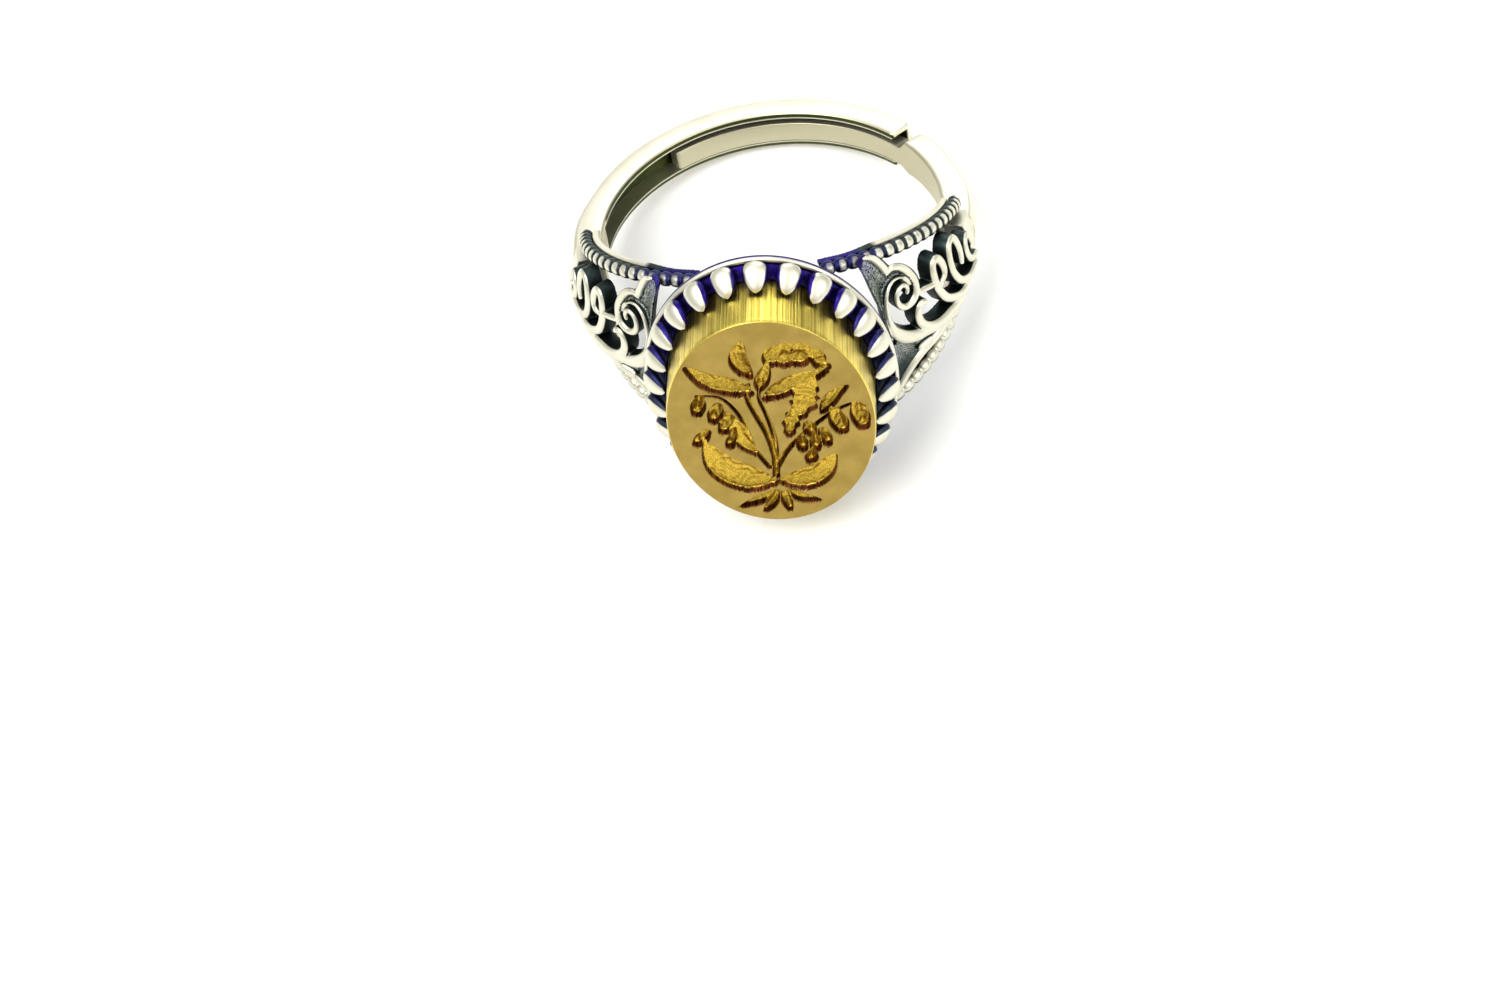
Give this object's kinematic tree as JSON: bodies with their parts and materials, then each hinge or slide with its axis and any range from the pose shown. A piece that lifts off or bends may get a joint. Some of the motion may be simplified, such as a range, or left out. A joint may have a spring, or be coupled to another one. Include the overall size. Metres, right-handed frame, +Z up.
{
  "type": "signet ring",
  "caption": "Adjustable finger ring for sealing wax: an oval brass seal plate in a grained silver bezel, openwork scroll shoulders and a two-piece sliding shank.",
  "frame": {"origin": "centre of the object's box, on the surface it lies on", "axes": "The ring lies on the lower end of its bezel's rim and the back of its shank. +Z is up, and the seal plate faces -Y and a little up. +X is to the right of someone who looks along +Y at the plate. The finger's axis leans back from +Z towards +Y by about 18 degrees."},
  "size_m": [0.0206, 0.0252, 0.0149],
  "materials": {
    "oxidised_silver": "oxidised silver: polished high spots over a dark patina",
    "bright_silver": "polished silver",
    "brass": "sand-blasted face, lined bright side"
  },
  "bodies": {
    "head": {"bezel_flange": "oxidised_silver", "bezel_floor": "oxidised_silver", "grain_01": "bright_silver", "grain_02": "bright_silver", "grain_03": "bright_silver", "grain_04": "bright_silver", "grain_05": "bright_silver", "grain_06": "bright_silver", "grain_07": "bright_silver", "grain_08": "bright_silver", "grain_09": "bright_silver", "grain_10": "bright_silver", "grain_11": "bright_silver", "grain_12": "bright_silver", "grain_13": "bright_silver", "grain_14": "bright_silver", "grain_15": "bright_silver", "grain_16": "bright_silver", "grain_17": "bright_silver", "grain_18": "bright_silver", "grain_19": "bright_silver", "grain_20": "bright_silver", "grain_21": "bright_silver", "grain_22": "bright_silver", "grain_23": "bright_silver", "grain_24": "bright_silver", "grain_25": "bright_silver", "grain_26": "bright_silver", "head_collet": "oxidised_silver", "left_big_scroll": "oxidised_silver", "left_curl": "oxidised_silver", "left_lower_bead_wire": "oxidised_silver", "left_lower_curl": "oxidised_silver", "left_lower_leaf": "oxidised_silver", "left_lower_rail": "oxidised_silver", "left_lower_scroll": "oxidised_silver", "left_middle_scroll": "oxidised_silver", "left_shoulder_block": "oxidised_silver", "left_tip_curl": "oxidised_silver", "left_upper_bead_wire": "oxidised_silver", "left_upper_leaf": "oxidised_silver", "left_upper_rail": "oxidised_silver", "right_big_scroll": "oxidised_silver", "right_curl": "oxidised_silver", "right_lower_bead_wire": "oxidised_silver", "right_lower_curl": "oxidised_silver", "right_lower_leaf": "oxidised_silver", "right_lower_rail": "oxidised_silver", "right_lower_scroll": "oxidised_silver", "right_middle_scroll": "oxidised_silver", "right_shoulder_block": "oxidised_silver", "right_tip_curl": "oxidised_silver", "right_upper_bead_wire": "oxidised_silver", "right_upper_leaf": "oxidised_silver", "right_upper_rail": "oxidised_silver", "rim_wire": "bright_silver", "seal_plate": "brass"},
    "left_shank": {"channel_shank": "bright_silver"},
    "right_shank": {"tongue_shank": "bright_silver"}
  },
  "joints": [
    {"name": "left_flex", "type": "hinge", "parent": "head", "child": "left_shank", "pos_m": [-0.0094, 0.00265, 0.00415], "axis": [0, 0.3077, 0.9515], "range_deg": [-3, 8]},
    {"name": "right_flex", "type": "hinge", "parent": "head", "child": "right_shank", "pos_m": [0.0094, 0.00265, 0.00415], "axis": [0, 0.3077, 0.9515], "range_deg": [-8, 3]}
  ],
  "couplings": [
    {"joint": "right_flex", "follows": "left_flex", "ratio": -1}
  ]
}
